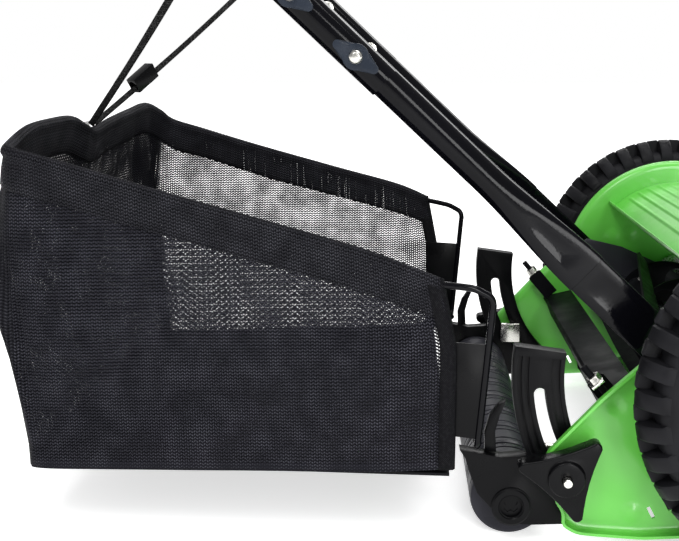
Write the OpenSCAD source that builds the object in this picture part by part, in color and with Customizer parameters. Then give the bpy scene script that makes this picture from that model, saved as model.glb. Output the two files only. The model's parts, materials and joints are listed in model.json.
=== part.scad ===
// Reel mower: two drive wheels, a bladed reel, a rear roller, a tube handle and a mesh catcher.
// +X is forwards, +Y is the mower's left, +Z is up. Z = 0 is the ground.
// Shapes are drawn from the wheels' axis, and each module moves them to the part's own origin.

/* [Wheels] */
// Outer radius of the drive wheels over their lugs
wheel_r = 125; // [123:1:127]
// Width of the tyre
tyre_w = 44; // [40:1:48]
// Lugs in each of the two rows round a tyre
lug_count = 35; // [30:1:40]
// Gap between a side plate's middle and the tyre
wheel_gap = 23; // [22:1:26]

/* [Side plates] */
// Distance from the mower's middle to the middle of a side plate's steel
plate_y = 199; // [197:1:203]
// Thickness of the side plates
plate_t = 2; // [1.6:0.2:2.4]
// Radius of the round shield that covers the inside of a wheel
shield_r = 107; // [105:1:108]
// How far the rim of a plate is turned outwards
rim_depth = 8; // [6:1:9]

/* [Reel] */
// Radius of the reel over its blades
reel_r = 62; // [60:0.5:62]
// Helical blades on the reel
blade_count = 5; // [4:1:7]
// Twist of a blade from one end of the reel to the other
blade_twist = 66; // [50:2:80]
// Teeth in the ring gear inside each wheel
ring_teeth = 51; // [51:1:51]
// Teeth on each pinion
pinion_teeth = 11; // [11:1:11]
// Tooth module of the drive gears
gear_m = 2; // [2:0.1:2]

/* [Roller and height adjustment] */
// Radius of the rear roller
roller_r = 28; // [26:1:30]
// Sleeves along the roller
sleeve_count = 9; // [7:1:11]
// Radius of the curved slot in the roller brackets
slot_r = 135; // [133:1:137]

/* [Handle] */
// Angle of the handle above the ground
handle_angle = 43; // [41:1:45]
// Length from the handle's pivot to its grip bar
handle_len = 1246; // [1150:10:1300]
// Outer radius of the handle tubes
tube_r = 11; // [10:0.5:11]

/* [Catcher] */
// Half width of the catcher bag at its front
bag_front_y = 203; // [202:1:204]
// Half width of the catcher bag at its rear
bag_rear_y = 191; // [186:1:194]
// Thickness of the bag's panels
bag_t = 1.4; // [1.2:0.2:1.8]

/* [Hidden] */

$fn = 64;
green = [0.32, 0.78, 0.24];
black = [0.07, 0.07, 0.08];
plastic = [0.11, 0.11, 0.12];
steel = [0.72, 0.73, 0.75];
zinc = [0.80, 0.80, 0.78];
rubber = [0.13, 0.13, 0.13];
mesh_grey = [0.16, 0.16, 0.17];

// Turned so that the part's origin is under the middle of its length
grip_r = 15;
pivot = [-48, 100];
grip_at = [pivot[0] - handle_len * cos(handle_angle), pivot[1] + handle_len * sin(handle_angle)];
rear_x = grip_at[0] - grip_r;
axle_x = -(wheel_r + rear_x) / 2;

web_in = plate_y - plate_t / 2;
web_out = plate_y + plate_t / 2;
rim_out = web_out + rim_depth;
tyre_in = plate_y + wheel_gap;
tyre_out = tyre_in + tyre_w;
running = 0.06;
gap = 0.3;

// Drive train
ring_pitch = gear_m * ring_teeth / 2;
pinion_pitch = gear_m * pinion_teeth / 2;
gear_shift = ring_pitch - pinion_pitch;
reel_dx = -14;
reel_at = [reel_dx, wheel_r - sqrt(gear_shift * gear_shift - reel_dx * reel_dx)];
mesh_angle = atan2(reel_at[1] - wheel_r, reel_at[0]);
hub_r = 17;
rim_r = 96;
axle_r = 6;
shaft_r = 8;
journal_r = 6;
gear_in = rim_out + 2;
gear_w = 10;
reel_half = 176;
spider_y = 172;
blade_depth = 13;
spider_r = reel_r - blade_depth - 0.3;

// Bed bar and knife: the knife's tip runs just outside the reel, and its screws lean with the flange
bed_path = [[-127, 92], [-121, 75], [-112, 63], [-100, 51], [-93, 38], [-89, 16]];
bed_t = 3;
knife_tip = reel_at + (reel_r + 0.6) * [cos(238), sin(238)];
knife_bolts_x = -70;
knife_bolts_y = [-135, -45, 45, 135];
bed_lean = -15;
cover_r = 87;
cover_t = 1.5;
cover_from = 22;
cover_to = 134;
plate_bolts_at = [[-34, 120], [36, 84]];
bed_bolt_at = [-76, 38];
m6_r = 3;
m6_hole_r = 3.3;
m8_r = 4;
m8_hole_r = 4.3;

// Height adjustment: the brackets turn about a centre that no pin marks
swing_at = [-45, wheel_r];
slot_w = 8.4;
slot_from = 186;
slot_to = 220.5;
clamp_angle = 208.9;
guide_angle = 218.4;
arm_in = slot_r - 17;
arm_out = slot_r + 18.5;
arm_end = 226;
bracket_in = 183;
bracket_out = 195;
roller_at = [-197, roller_r];
rod_r = 5;
roller_half = 179;
sleeve_pitch = 2 * roller_half / sleeve_count;
bracket_body = [[-234, 69], [-230, 63], [-226, 50], [-221, 37], [-211, 26], [-197, 15], [-182, 14],
  [-161, 15], [-150, 20], [-150, 40], [-180, 66], [-205, 64]];
finger = [[-216, 66], [-216.5, 80], [-212.5, 93], [-207, 101], [-202, 103], [-206, 93], [-209, 81],
  [-208, 66]];
knob_in = rim_out + 2;
// Three rounded tips with hollow sides between them
knob_outline = [for (tip = [47, 167, 287])
  each concat(
    [for (k = [-75:25:75]) 29 * [cos(tip), sin(tip)] + 4 * [cos(tip + k), sin(tip + k)]],
    [for (t = [-0.8:0.4:0.8]) (16.4 + 2 * t * t) * [cos(tip + 60), sin(tip + 60)]
      + 24.1 * t * [-sin(tip + 60), cos(tip + 60)]])];
clamp_at = swing_at + slot_r * [cos(clamp_angle), sin(clamp_angle)];
guide_at = swing_at + slot_r * [cos(guide_angle), sin(guide_angle)];

// Side plate outline, behind the shield
plate_tail = [[-105, 144], [-140, 111], [-176, 71], [-168, 36], [-153, 16], [-142, 12], [-107, 10],
  [-40, 14], [0, 18], [0, 144]];
inner_outline = [[-97, 150], [-89, 156], [-54, 148], [-18, 132], [20, 112], [46, 88], [40, 62],
  [14, 52], [-24, 50], [-62, 62], [-84, 88]];
adjust_at = [[-142, 121], 131];
adjust_y = 192;
tie_at = [78, 92];

// Handle
lower_y = 184;
upper_y = lower_y + 2 * tube_r + 0.3;
flat_in = 188.5;
flat_out = 194.5;
flat_w = 30;
taper_from = 128;
taper_to = 205;
lower_end = 440;
upper_start = 329;
bolt_low = 354;
bolt_high = 411;
tube_wall = 1.4;
bend_r = 75;
bolt_tip = upper_y + tube_r + 14;
strap_s = 481;

// Catcher
hook_at = [-222, 73.2];
wire_r = 2.5;
wire_y = 200;
top_front = [-213, 180];
rear_wire = [-543.5, bag_rear_y - 6, 270];
bag_side = [[-237, 55], [-243, 193], [-551, 277], [-533, 150], [-546, 48]];

// Strap: one strand up to each tube from a loop behind the bag's rear hem
strap_r = 3.2;
strap_steps = 14;
strap_top = pivot + strap_s * [-cos(handle_angle), sin(handle_angle)];
strap_low = [-536, 6, 284];
strap_run = [strap_top[0], upper_y - tube_r - 4, strap_top[1]] - strap_low;

module at_axle() { translate([axle_x, 0, 0]) children(); }
// Draws a flat (x, z) shape across the mower between two values of y
module across(y0, y1) { translate([0, y1, 0]) rotate([90, 0, 0]) linear_extrude(y1 - y0) children(); }
module disc(at, r, y0, y1) { across(y0, y1) translate(at) circle(r); }
module side(left) { if (left) children(); else mirror([0, 1, 0]) children(); }
module both() { children(); mirror([0, 1, 0]) children(); }
module in_handle() {
  translate([pivot[0], 0, pivot[1]]) rotate([0, handle_angle - 90, 0]) children();
}

// A strip of constant thickness along a path of (x, z) points
function normal_at(p, i) = let (a = p[max(i - 1, 0)], b = p[min(i + 1, len(p) - 1)], d = b - a)
  [-d[1], d[0]] / norm(d);
function strip(p, t) = concat(p, [for (i = [len(p) - 1:-1:0]) p[i] + t * normal_at(p, i)]);
function arc(c, r, a0, a1, n) = [for (i = [0:n]) let (a = a0 + (a1 - a0) * i / n) c + r * [cos(a), sin(a)]];

// A ring of trapezium teeth: the pitch radius, tip and root radii, tooth count and the first tooth's angle
function tooth_ring(pitch, tip, root, count, start, share) = [for (i = [0:count - 1])
  for (k = [0:3])
    let (r = (k == 0 || k == 3) ? root : tip,
      half = 360 / count * share / 2 + (pitch - r) * tan(20) / pitch * 180 / PI * (tip > root ? 1 : -1),
      a = start + i * 360 / count + (k < 2 ? -half : half))
    r * [cos(a), sin(a)]];

// ---- Deck ----

module plate_outline() {
  union() {
    translate([0, wheel_r]) circle(shield_r);
    polygon(plate_tail);
    translate([-151, 27]) circle(15);
    translate(tie_at) circle(20);
  }
}

module side_plate(left) {
  color(green) at_axle() side(left) difference() {
    union() {
      across(web_in, web_out) plate_outline();
      across(web_in, rim_out) difference() {
        plate_outline();
        offset(delta = -plate_t) plate_outline();
      }
    }
    disc([0, wheel_r], axle_r + 0.2, web_in - 1, web_out + 1);
    disc(reel_at, 16.3, web_in - 1, web_out + 1);
    for (p = concat(plate_bolts_at, [clamp_at, guide_at, bed_bolt_at]))
      disc(p, m6_hole_r, web_in - 1, web_out + 1);
    for (p = [pivot, tie_at]) disc(p, m8_hole_r, web_in - 1, web_out + 1);
    // Two slits in the tail
    for (p = [[-100, 27], [-89, 33]])
      across(web_in - 1, web_out + 1) translate(p) rotate(28) square([2.4, 9], center = true);
  }
}

module inner_plate(left) {
  color(black) at_axle() side(left) difference() {
    union() {
      across(184, 186.5) polygon(inner_outline);
      for (p = plate_bolts_at) disc(p, 6, 186.5, web_in - 0.05);
    }
    disc(reel_at, 17, 183, 188);
    disc(pivot, m8_hole_r, 183, 188);
    for (p = plate_bolts_at) disc(p, m6_hole_r, 183, web_in + 1);
  }
}

module top_cover() {
  color(green) at_axle() {
    across(-web_in + 0.05, web_in - 0.05) polygon(concat(
      arc([0, wheel_r], cover_r, cover_from, cover_to, 40),
      [[-66, 181], [-65, 179.6]],
      arc([0, wheel_r], cover_r - cover_t, cover_to, cover_from, 40)));
    for (a = [40:11:128])
      translate([0, 0, wheel_r]) rotate([0, -a, 0]) translate([cover_r - 0.4, 0, 0])
        cube([2, 2 * web_in - 40, 4], center = true);
  }
}

module front_tie_rod() {
  color(black) at_axle() difference() {
    disc(tie_at, 8, -web_in + 0.05, web_in - 0.05);
    both() disc(tie_at, m8_r, web_in - 30, web_in + 1);
  }
}

module knife_bolt() {
  for (y = knife_bolts_y) translate([knife_bolts_x, y, 21]) rotate([0, bed_lean, 0]) children();
}
module bed_bar() {
  color(black) at_axle() difference() {
    union() {
      across(-web_in + 0.05, web_in - 0.05) polygon(strip(bed_path, bed_t));
      across(-web_in + 0.05, web_in - 0.05)
        polygon([[-128.5, 91.5], [-127, 94], [-101, 100.5], [-100.5, 97.6], [-124, 91.5]]);
      across(-web_in + 0.05, web_in - 0.05)
        polygon([[-89, 16], [-86, 14], [-54, 22.5], [-54, 25.8], [-86, 19]]);
      both() disc(bed_bolt_at, 7, web_in - 14, web_in - 0.05);
      both() across(web_in - 10, web_in - 7) polygon([[-92, 20], [-86, 14], [-64, 20], [-64, 44], [-96, 48]]);
    }
    knife_bolt() cylinder(r = 2.6, h = 30, center = true);
    both() disc(bed_bolt_at, m6_hole_r, web_in - 15, web_in + 1);
  }
}

module bed_knife() {
  color(steel) at_axle() difference() {
    across(-reel_half - 4, reel_half + 4) polygon([knife_tip, knife_tip + [-2.4, 1.6],
      [-80, 24], [-80, 20.85], [-54, 26.2], knife_tip + [1.6, -1.4]]);
    knife_bolt() cylinder(r = 2.6, h = 30, center = true);
  }
}

module bed_knife_screws() {
  color(zinc) at_axle() knife_bolt() {
    translate([0, 0, -4]) cylinder(r = 2.5, h = 13);
    translate([0, 0, 7.6]) cylinder(r = 5, h = 2.4);
    translate([0, 0, -8]) cylinder(r = 4.8, h = 4, $fn = 6);
  }
}

module adjuster() {
  translate([adjust_at[0][0], adjust_y, adjust_at[0][1]]) rotate([0, 90 - adjust_at[1], 0]) children();
}
module adjuster_screws() {
  color(zinc) at_axle() both() adjuster() translate([0, 0, -24]) cylinder(r = 2.5, h = 36);
}
module adjuster_nuts() {
  color(zinc) at_axle() both() adjuster() {
    difference() {
      union() {
        translate([0, 0, -2]) cylinder(r = 5.2, h = 5, $fn = 6);
        translate([-5, -6, -4]) cube([10, 11.9, 2]);
      }
      translate([0, 0, -6]) cylinder(r = 2.55, h = 12);
    }
  }
}

module stub_axles() {
  color(steel) at_axle() both() difference() {
    union() {
      disc([0, wheel_r], axle_r, web_in, tyre_out + 1);
      disc([0, wheel_r], 13, web_in - 5, web_in);
      disc([0, wheel_r], 10, web_out + 0.1, gear_in + gear_w + 1);
    }
    disc([0, wheel_r], 3, web_in - 6, web_in + 12);
  }
}
module axle_nuts() {
  color(zinc) at_axle() both() difference() {
    across(tyre_out - 6, tyre_out) translate([0, wheel_r]) circle(10, $fn = 6);
    disc([0, wheel_r], axle_r + 0.03, tyre_out - 7, tyre_out + 1);
  }
}
module reel_bearings() {
  color(steel) at_axle() both() difference() {
    union() {
      disc(reel_at, 16, web_in - 3, web_out + 5);
      disc(reel_at, 19, web_in - 8, web_in - 3);
    }
    disc(reel_at, journal_r + running, web_in - 9, web_out + 6);
  }
}
module clamp_bolts() {
  color(zinc) at_axle() both() {
    disc(clamp_at, m6_r, bracket_in - 1, tyre_in + 11);
    across(bracket_in - 6, bracket_in - 1) translate(clamp_at) square(19, center = true);
  }
}
module guide_bolts() {
  color(zinc) at_axle() both() {
    disc(guide_at, m6_r, bracket_in - 1, rim_out - 4);
    disc(guide_at, 6.5, bracket_in - 4, bracket_in - 1);
    across(web_out + 0.1, web_out + 4) translate(guide_at) circle(5.6, $fn = 6);
  }
}
module handle_pivot_bolts() {
  color(zinc) at_axle() both() {
    disc(pivot, m8_r, 180, web_out + 5);
    across(178, 183.9) translate(pivot) circle(7, $fn = 6);
    across(web_out + 0.1, web_out + 6) translate(pivot) circle(7, $fn = 6);
  }
}
module plate_bolts() {
  color(zinc) at_axle() both() {
    for (p = plate_bolts_at) {
      disc(p, m6_r, 182, web_out + 4);
      across(180, 183.9) translate(p) circle(6, $fn = 6);
      disc(p, 6, web_out + 0.1, web_out + 4);
    }
    disc(tie_at, 3.9, web_in - 29, web_out + 5);
    disc(tie_at, 8, web_out + 0.1, web_out + 5);
    disc(bed_bolt_at, m6_r, web_in - 14, web_out + 0.1);
    disc(bed_bolt_at, 6, web_out + 0.1, web_out + 4);
  }
}

// ---- Wheels ----

module wheel(left) {
  color(plastic) at_axle() side(left) difference() {
    union() {
      // Hub, web with five spokes, and the rim that carries the tyre
      disc([0, wheel_r], hub_r, gear_in + gear_w + 2, tyre_out - 8);
      across(tyre_in + 12, tyre_in + 17) translate([0, wheel_r]) difference() {
        circle(rim_r);
        for (a = [0:72:359]) rotate(a) translate([62, 0]) circle(18);
      }
      for (a = [36:72:359]) across(tyre_in + 17, tyre_in + 25) translate([0, wheel_r]) rotate(a)
        translate([hub_r - 2, -5]) square([rim_r - hub_r - 2, 10]);
      across(tyre_in + 1, tyre_out - 4) translate([0, wheel_r]) difference() {
        circle(rim_r);
        circle(rim_r - 6);
      }
      // Drum that carries the ring gear
      across(gear_in, tyre_in + 12) translate([0, wheel_r]) difference() {
        circle(62);
        circle(56);
      }
      across(gear_in, gear_in + gear_w) translate([0, wheel_r]) difference() {
        circle(60);
        polygon(tooth_ring(ring_pitch, ring_pitch - 1.6, ring_pitch + 2.6, ring_teeth,
          mesh_angle + 180 / ring_teeth, 0.36));
      }
    }
    disc([0, wheel_r], axle_r + running, gear_in, tyre_out);
  }
}

function lug_row(phase) = [for (i = [0:lug_count - 1]) for (k = [0:3])
  let (a = (i + phase) * 360 / lug_count + [-2.9, -2.5, 2.5, 2.9][k])
    (k == 0 || k == 3 ? wheel_r - 9 : wheel_r) * [cos(a), sin(a)]];
module tyre(left) {
  color(rubber) at_axle() side(left) {
    difference() {
      union() {
        translate([0, tyre_in, wheel_r]) rotate([-90, 0, 0]) rotate_extrude($fn = 96)
          polygon([[rim_r + 0.05, 0], [wheel_r - 17, 0], [wheel_r - 8.5, 8], [wheel_r - 8.5, tyre_w - 8],
            [wheel_r - 17, tyre_w], [rim_r + 0.05, tyre_w]]);
        across(tyre_in + 2, tyre_in + tyre_w / 2) translate([0, wheel_r]) polygon(lug_row(0));
        across(tyre_in + tyre_w / 2, tyre_out - 2) translate([0, wheel_r]) polygon(lug_row(0.5));
      }
      disc([0, wheel_r], rim_r + 0.05, tyre_in - 1, tyre_out + 1);
    }
  }
}
module hub_cap(left) {
  color(plastic) at_axle() side(left) difference() {
    union() {
      disc([0, wheel_r], 30, tyre_out - 6, tyre_out + 1);
      disc([0, wheel_r], 24, tyre_out + 1, tyre_out + 4);
      disc([0, wheel_r], 15.5, tyre_out - 8, tyre_out - 6);
    }
    disc([0, wheel_r], 12, tyre_out - 9, tyre_out + 2);
  }
}

// ---- Reel ----

module reel_shaft() {
  color(steel) at_axle() {
    disc(reel_at, shaft_r, -web_in + 9, web_in - 9);
    disc(reel_at, journal_r, -gear_in - gear_w - 1, gear_in + gear_w + 1);
  }
}
module reel_spiders() {
  color(black) at_axle() for (y = [-spider_y:spider_y / 2:spider_y])
    difference() {
      across(y - 1.5, y + 1.5) translate(reel_at) difference() {
        circle(spider_r);
        for (i = [0:blade_count - 1])
          rotate((i + 0.5) * 360 / blade_count + y * blade_twist / (2 * reel_half))
            translate([33, 0]) circle(11);
      }
      disc(reel_at, shaft_r + 0.02, y - 2, y + 2);
    }
}
module reel_blades() {
  color([0.5, 0.5, 0.52]) at_axle()
    translate([reel_at[0], reel_half, reel_at[1]]) rotate([90, 0, 0])
      for (i = [0:blade_count - 1]) rotate(i * 360 / blade_count - blade_twist / 2)
        linear_extrude(2 * reel_half, twist = -blade_twist, slices = 26, segments = 4, $fn = 8)
          polygon([[reel_r - blade_depth, -1.6], [reel_r - 0.1, 2.2], [reel_r - 0.8, 4.8],
            [reel_r - blade_depth, 1.4]]);
}
module pinion(left) {
  color(steel) at_axle() side(left) difference() {
    across(gear_in, gear_in + gear_w) translate(reel_at)
      polygon(tooth_ring(pinion_pitch, pinion_pitch + 1.6, pinion_pitch - 2.4, pinion_teeth,
        mesh_angle, 0.36));
    disc(reel_at, journal_r + running, gear_in - 1, gear_in + gear_w + 1);
  }
}

// ---- Roller and brackets ----

module arm_sector(r0, r1, a0, a1) {
  polygon(concat(arc(swing_at, r1, a0, a1, 24), arc(swing_at, r0, a1, a0, 24)));
}
// The slot's outline: its outer edge, one round end, its inner edge and the other round end
function slot_end(a, from) = arc(swing_at + slot_r * [cos(a), sin(a)], slot_w / 2, from, from + 180, 10);
slot_outline = concat(
  arc(swing_at, slot_r + slot_w / 2, slot_from, slot_to, 24), slot_end(slot_to, slot_to),
  arc(swing_at, slot_r - slot_w / 2, slot_to, slot_from, 24), slot_end(slot_from, slot_from + 180));
module roller_bracket(left) {
  color(plastic) at_axle() side(left) difference() {
    union() {
      across(bracket_in, bracket_out) union() {
        arm_sector(arm_in, arm_out, 172.6, arm_end);
        polygon(bracket_body);
      }
      across(bracket_in, bracket_in + 6) polygon(finger);
      disc(roller_at, 14, bracket_in - 3, bracket_out + 2);
    }
    across(bracket_in - 1, bracket_out + 1) polygon(slot_outline);
    // Pressed channels beside the slot
    for (r = [[arm_in + 3, slot_r - 8], [slot_r + 7.5, slot_r + 10.5], [slot_r + 12.5, slot_r + 15.5]])
      across(bracket_out - 3, bracket_out + 1) arm_sector(r[0], r[1], 175, 203);
    disc(roller_at, rod_r + 0.1, bracket_in - 4, bracket_out + 1);
    disc(roller_at, 8, bracket_out - 2, bracket_out + 3);
  }
}
module roller_rod() {
  color(steel) at_axle() {
    disc(roller_at, rod_r, -bracket_out + 2.5, bracket_out - 2.5);
  }
}
module roller_sleeves() {
  color(plastic) at_axle() for (i = [0:sleeve_count - 1])
    translate([roller_at[0], -roller_half + i * sleeve_pitch, roller_at[1]]) rotate([-90, 0, 0])
      rotate_extrude($fn = 64) polygon([[rod_r + running, 0.2], [roller_r - 3, 0.2], [roller_r - 0.6, 1.4],
        [roller_r, 5], [roller_r, 9], [roller_r - 2, 9.8], [roller_r - 2, 10.8], [roller_r, 11.6],
        [roller_r, sleeve_pitch - 11.6], [roller_r - 2, sleeve_pitch - 10.8],
        [roller_r - 2, sleeve_pitch - 9.8],
        [roller_r, sleeve_pitch - 9], [roller_r, sleeve_pitch - 5], [roller_r - 0.6, sleeve_pitch - 1.4],
        [roller_r - 3, sleeve_pitch - 0.2], [rod_r + running, sleeve_pitch - 0.2]]);
}

module height_knob(left) {
  color(plastic) at_axle() side(left) difference() {
    union() {
      across(knob_in, knob_in + 13) translate(clamp_at) polygon(knob_outline);
      disc(clamp_at, 7.5, web_out + 1, knob_in);
      disc(clamp_at, 12.5, knob_in + 13, knob_in + 17);
    }
    disc(clamp_at, 3 + running, web_out, knob_in + 20);
  }
}

// ---- Handle ----

module hollow(y, z0, z1, r) {
  translate([0, y, z0]) difference() {
    cylinder(r = r, h = z1 - z0);
    translate([0, 0, -1]) cylinder(r = r - tube_wall, h = z1 - z0 + 2);
  }
}
module lower_tube(left) {
  color(black) at_axle() side(left) in_handle() difference() {
    union() {
      translate([-flat_w / 2, flat_in, 0]) cube([flat_w, flat_out - flat_in, taper_from]);
      translate([0, flat_in, 0]) rotate([-90, 0, 0]) cylinder(r = flat_w / 2, h = flat_out - flat_in);
      hull() {
        translate([-flat_w / 2, flat_in, taper_from]) cube([flat_w, flat_out - flat_in, 0.1]);
        translate([0, lower_y, taper_to]) cylinder(r = tube_r, h = 0.1, $fn = 32);
      }
      hollow(lower_y, taper_to, lower_end, tube_r);
    }
    translate([0, 150, 0]) rotate([-90, 0, 0]) cylinder(r = m8_r + running, h = 80);
    for (s = [bolt_low, bolt_high]) translate([0, 150, s]) rotate([-90, 0, 0]) cylinder(r = 3.2, h = 80);
  }
}

module upper_handle() {
  color(black) at_axle() in_handle() difference() {
    union() {
      both() hollow(upper_y, upper_start, handle_len - bend_r, tube_r);
      both() translate([0, upper_y - bend_r, handle_len - bend_r]) rotate([0, -90, 0])
        rotate_extrude(angle = 90) translate([bend_r, 0]) difference() {
          circle(tube_r);
          circle(tube_r - tube_wall);
        }
      translate([0, -upper_y + bend_r, handle_len]) rotate([-90, 0, 0]) difference() {
        cylinder(r = tube_r, h = 2 * (upper_y - bend_r));
        translate([0, 0, -1]) cylinder(r = tube_r - tube_wall, h = 2 * (upper_y - bend_r) + 2);
      }
    }
    both() for (s = [bolt_low, bolt_high])
      translate([0, 190, s]) rotate([-90, 0, 0]) cylinder(r = 3.2, h = 40);
  }
}
module foam_grip() {
  color(rubber) at_axle() in_handle() translate([0, -upper_y + bend_r + 2, handle_len]) rotate([-90, 0, 0])
    difference() {
      cylinder(r = grip_r, h = 2 * (upper_y - bend_r) - 4);
      translate([0, 0, -1]) cylinder(r = tube_r + 0.05, h = 2 * (upper_y - bend_r));
    }
}
module handle_bolts() {
  color(zinc) at_axle() in_handle() both() for (s = [bolt_low, bolt_high]) translate([0, 0, s]) {
    translate([0, lower_y - tube_r - 1, 0]) rotate([-90, 0, 0])
      cylinder(r = 3, h = bolt_tip - lower_y + tube_r + 1);
    translate([0, lower_y - tube_r - 5.2, 0]) rotate([-90, 0, 0]) cylinder(r = 7, h = 5);
  }
}
module wing_nut(left, s) {
  color([0.14, 0.16, 0.19]) at_axle() side(left) in_handle() translate([0, upper_y + tube_r + gap, s])
    rotate([-90, 0, 0]) difference() {
      union() {
        cylinder(r = 8.5, h = 10);
        for (a = [81, 261]) rotate(a) hull() {
          translate([0, -6.5, 0]) cube([6, 13, 8]);
          translate([14, 0, 3]) cylinder(r = 3, h = 8, $fn = 24);
        }
      }
      translate([0, 0, -1]) cylinder(r = 3 + running, h = 20);
    }
}

// ---- Catcher ----

module rod_between(a, b, r) {
  d = b - a;
  translate(a) rotate([0, acos(d[2] / norm(d)), atan2(d[1], d[0])]) cylinder(r = r, h = norm(d));
}
module catcher_frame() {
  color(black) at_axle() {
    both() {
      rod_between([hook_at[0], 188, hook_at[1]], [hook_at[0], wire_y, hook_at[1]], wire_r);
      rod_between([hook_at[0], wire_y, hook_at[1]], [top_front[0], wire_y, top_front[1]], wire_r);
      rod_between([top_front[0], wire_y, top_front[1]], rear_wire, wire_r);
      for (p = [[hook_at[0], wire_y, hook_at[1]], [top_front[0], wire_y, top_front[1]], rear_wire])
        translate(p) sphere(r = wire_r + 0.3);
    }
    rod_between([rear_wire[0], -rear_wire[1], rear_wire[2]], rear_wire, wire_r);
  }
}
module catcher_clip(left) {
  color(black) at_axle() side(left) difference() {
    across(199, 201) polygon([[-249, 149], [-216, 147], [-221, 79], [-247, 82]]);
    rod_between([hook_at[0], wire_y, hook_at[1]], [top_front[0], wire_y, top_front[1]], wire_r + 0.05);
  }
}
module bag_panel(p, y_front, y_rear, t) {
  // Points of the side outline, wider at the front than at the rear
  polyhedron(
    points = concat([for (q = p) [q[0], y_rear + (y_front - y_rear) * (q[0] + 551) / 314, q[1]]],
      [for (q = p) [q[0], y_rear + (y_front - y_rear) * (q[0] + 551) / 314 - t, q[1]]]),
    faces = concat([[0, 1, 2, 3, 4], [9, 8, 7, 6, 5]],
      [for (i = [0:4]) [i, i + 5, (i + 1) % 5 + 5, (i + 1) % 5]]));
}
module bag_side(left) {
  color(mesh_grey) at_axle() side(left) bag_panel(bag_side, bag_front_y, bag_rear_y, bag_t);
}
module bag_rear() {
  color(mesh_grey) at_axle() across(-bag_rear_y + 3, bag_rear_y - 3)
    polygon(concat([[-551, 277], [-533, 150], [-546, 48]], [[-544, 48], [-531, 150], [-549, 277]]));
}
module bag_floor() {
  color(mesh_grey) at_axle() translate([0, 0, 48]) linear_extrude(1.5)
    polygon([[-542.5, -bag_rear_y + 3], [-238, -bag_front_y + 3], [-238, bag_front_y - 3],
      [-542.5, bag_rear_y - 3]]);
}
module floor_board() {
  color(plastic) at_axle() translate([0, 0, 50]) linear_extrude(2.5)
    polygon([[-538, -bag_rear_y + 6], [-241, -bag_front_y + 6], [-241, bag_front_y - 6],
      [-538, bag_rear_y - 6]]);
}

// ---- Strap ----

function strap_route() = let (
    left = [for (i = [0:strap_steps]) strap_low + (1 - i / strap_steps) * strap_run])
  concat(left, [for (i = [strap_steps:-1:0]) [left[i][0], -left[i][1], left[i][2]]]);
function unit(v) = v / norm(v);
function tube_points(route, r, n) = [for (i = [0:len(route) - 1])
  let (t = unit(route[min(i + 1, len(route) - 1)] - route[max(i - 1, 0)]),
    u = unit(cross(t, [1, 0, -1])),
    w = cross(t, u))
    for (k = [0:n - 1]) route[i] + r * (cos(k * 360 / n) * u + sin(k * 360 / n) * w)];
module tube(route, r, n) {
  last = len(route) - 1;
  polyhedron(points = tube_points(route, r, n), faces = concat(
    [[for (k = [0:n - 1]) k]], [[for (k = [n - 1:-1:0]) last * n + k]],
    [for (i = [0:last - 1]) for (k = [0:n - 1])
      [i * n + k, (i + 1) * n + k, (i + 1) * n + (k + 1) % n, i * n + (k + 1) % n]]));
}
module strap() {
  color(black) at_axle() tube(strap_route(), strap_r, 8);
}
module strap_slider() {
  color(plastic) at_axle() translate(strap_low + 0.24 * strap_run)
    rotate([0, -asin(strap_run[2] / norm(strap_run)), atan2(strap_run[1], strap_run[0])]) difference() {
      cube([26, 10, 13], center = true);
      rotate([0, 90, 0]) cylinder(r = 4.4, h = 40, center = true);
    }
}

side_plate(false);  // side_plate_right
side_plate(true);  // side_plate_left
inner_plate(false);  // inner_plate_right
inner_plate(true);  // inner_plate_left
top_cover();
front_tie_rod();
bed_bar();
bed_knife();
bed_knife_screws();
adjuster_screws();
adjuster_nuts();
stub_axles();
axle_nuts();
reel_bearings();
clamp_bolts();
guide_bolts();
handle_pivot_bolts();
plate_bolts();
wheel(false);  // wheel_right
wheel(true);  // wheel_left
tyre(false);  // tyre_right
tyre(true);  // tyre_left
hub_cap(false);  // hub_cap_right
hub_cap(true);  // hub_cap_left
reel_shaft();
reel_spiders();
reel_blades();
pinion(false);  // pinion_right
pinion(true);  // pinion_left
roller_bracket(false);  // roller_bracket_right
roller_bracket(true);  // roller_bracket_left
roller_rod();
roller_sleeves();
height_knob(false);  // height_knob_right
height_knob(true);  // height_knob_left
lower_tube(false);  // lower_tube_right
lower_tube(true);  // lower_tube_left
upper_handle();
foam_grip();
handle_bolts();
wing_nut(false, bolt_low);  // wing_nut_right_low
wing_nut(false, bolt_high);  // wing_nut_right_high
wing_nut(true, bolt_low);  // wing_nut_left_low
wing_nut(true, bolt_high);  // wing_nut_left_high
catcher_frame();
catcher_clip(false);  // catcher_clip_right
catcher_clip(true);  // catcher_clip_left
bag_side(false);  // bag_side_right
bag_side(true);  // bag_side_left
bag_rear();
bag_floor();
floor_board();
strap();
strap_slider();
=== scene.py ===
"""Looks for the reel mower: enamel, plastic, rubber and the mesh catcher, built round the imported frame."""
import json
import math

import bmesh
import bpy
import numpy as np
from mathutils import Matrix, Vector, noise
from mathutils.geometry import delaunay_2d_cdt

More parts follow.
